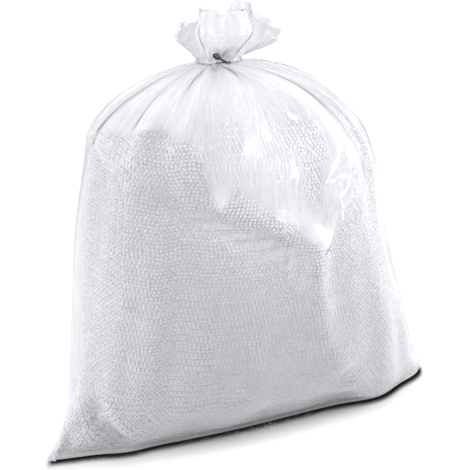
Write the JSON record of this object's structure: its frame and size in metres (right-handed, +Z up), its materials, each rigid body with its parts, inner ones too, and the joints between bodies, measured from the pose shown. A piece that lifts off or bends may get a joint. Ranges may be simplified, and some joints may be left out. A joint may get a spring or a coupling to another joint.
{
  "type": "bag of polystyrene beads",
  "caption": "Clear film bag of white polystyrene beads, standing on a pointed footprint, gathered at the neck and tied with twisted wire below a loose frill.",
  "frame": {"origin": "middle of the bag's box, on the flat underside", "axes": "+X from the left ear to the right ear, +Y to the back, +Z up"},
  "size_m": [0.623, 0.3168, 0.5967],
  "materials": {
    "clear_film": "clear blown polyethylene film, glossy and creased",
    "polystyrene": "white expanded polystyrene beads",
    "annealed_wire": "black annealed steel wire"
  },
  "bodies": {
    "root": {"film_bag": "clear_film", "bead_fill": "polystyrene", "wire_tie": "annealed_wire"}
  },
  "joints": []
}
